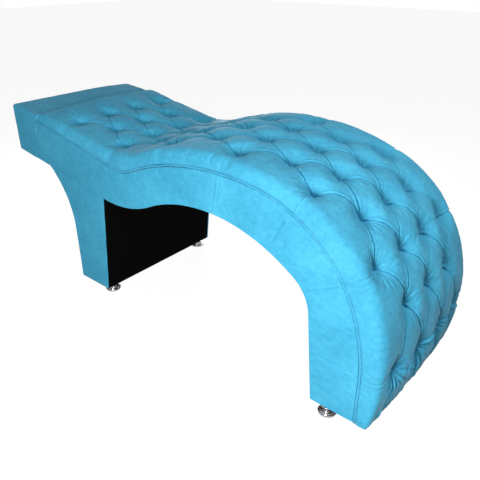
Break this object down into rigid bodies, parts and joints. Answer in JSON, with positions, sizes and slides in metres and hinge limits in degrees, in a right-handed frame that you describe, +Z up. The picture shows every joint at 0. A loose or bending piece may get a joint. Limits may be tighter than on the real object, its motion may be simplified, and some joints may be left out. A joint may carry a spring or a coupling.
{
  "type": "beauty treatment bed",
  "caption": "Upholstered treatment bed with a fixed wave shape: tufted pad over a bent deck, curved side panels, box leg at the head end and screw-in levelling feet.",
  "frame": {"origin": "on the floor, under the middle of the overall box", "axes": "+X along the bed to the foot end, +Y to the left of a client lying on it face up, +Z up"},
  "size_m": [1.7155, 0.618, 0.7338],
  "materials": {
    "velvet": "turquoise short-pile velvet",
    "black_lining": "matt black lining cloth",
    "plywood": "raw birch plywood",
    "pine": "planed softwood",
    "zinc_steel": "zinc plated",
    "chrome": "polished chrome",
    "black_plastic": "moulded black",
    "twine": "waxed upholstery twine"
  },
  "bodies": {
    "bed": {"tufted_pad": "velvet", "head_pad": "velvet", "side_cover_left": "velvet", "side_cover_right": "velvet", "leg_cover_left": "velvet", "leg_cover_right": "velvet", "leg_back_cover": "velvet", "piping_left": "velvet", "piping_right": "velvet", "underside_lining": "black_lining", "leg_inner_lining": "black_lining", "side_panel_left": "plywood", "side_panel_right": "plywood", "curved_deck": "plywood", "head_end_board": "plywood", "foot_end_base_board": "plywood", "leg_side_left": "plywood", "leg_side_right": "plywood", "leg_back_board": "plywood", "leg_inner_board": "plywood", "leg_base_board": "plywood", "leg_top_board": "plywood", "cross_rail_1": "pine", "cross_rail_2": "pine", "cross_rail_3": "pine", "cross_rail_4": "pine", "cross_rail_5": "pine", "cross_rail_6": "pine", "cross_rail_7": "pine", "cross_rail_8": "pine", "leg_mount_rail_rear": "pine", "leg_mount_rail_front": "pine", "leg_bolts": "zinc_steel", "leg_bolt_nuts": "zinc_steel", "tee_nuts": "zinc_steel", "twine_washers": "zinc_steel", "tufting_twines": "twine"},
    "leg_foot_inner_left": {"leg_foot_inner_left": "chrome", "leg_foot_inner_left_stud": "zinc_steel", "leg_foot_inner_left_glide": "black_plastic"},
    "leg_foot_inner_right": {"leg_foot_inner_right": "chrome", "leg_foot_inner_right_stud": "zinc_steel", "leg_foot_inner_right_glide": "black_plastic"},
    "leg_foot_outer_left": {"leg_foot_outer_left": "chrome", "leg_foot_outer_left_stud": "zinc_steel", "leg_foot_outer_left_glide": "black_plastic"},
    "leg_foot_outer_right": {"leg_foot_outer_right": "chrome", "leg_foot_outer_right_stud": "zinc_steel", "leg_foot_outer_right_glide": "black_plastic"},
    "end_foot_left": {"end_foot_left": "chrome", "end_foot_left_stud": "zinc_steel", "end_foot_left_glide": "black_plastic"},
    "end_foot_right": {"end_foot_right": "chrome", "end_foot_right_stud": "zinc_steel", "end_foot_right_glide": "black_plastic"}
  },
  "joints": [
    {"name": "leg_foot_inner_left_screw", "type": "slide", "parent": "bed", "child": "leg_foot_inner_left", "axis": [0, 0, -1], "range_m": [0, 0.012]},
    {"name": "leg_foot_inner_right_screw", "type": "slide", "parent": "bed", "child": "leg_foot_inner_right", "axis": [0, 0, -1], "range_m": [0, 0.012]},
    {"name": "leg_foot_outer_left_screw", "type": "slide", "parent": "bed", "child": "leg_foot_outer_left", "axis": [0, 0, -1], "range_m": [0, 0.012]},
    {"name": "leg_foot_outer_right_screw", "type": "slide", "parent": "bed", "child": "leg_foot_outer_right", "axis": [0, 0, -1], "range_m": [0, 0.012]},
    {"name": "end_foot_left_screw", "type": "slide", "parent": "bed", "child": "end_foot_left", "axis": [0, 0, -1], "range_m": [0, 0.012]},
    {"name": "end_foot_right_screw", "type": "slide", "parent": "bed", "child": "end_foot_right", "axis": [0, 0, -1], "range_m": [0, 0.012]}
  ]
}
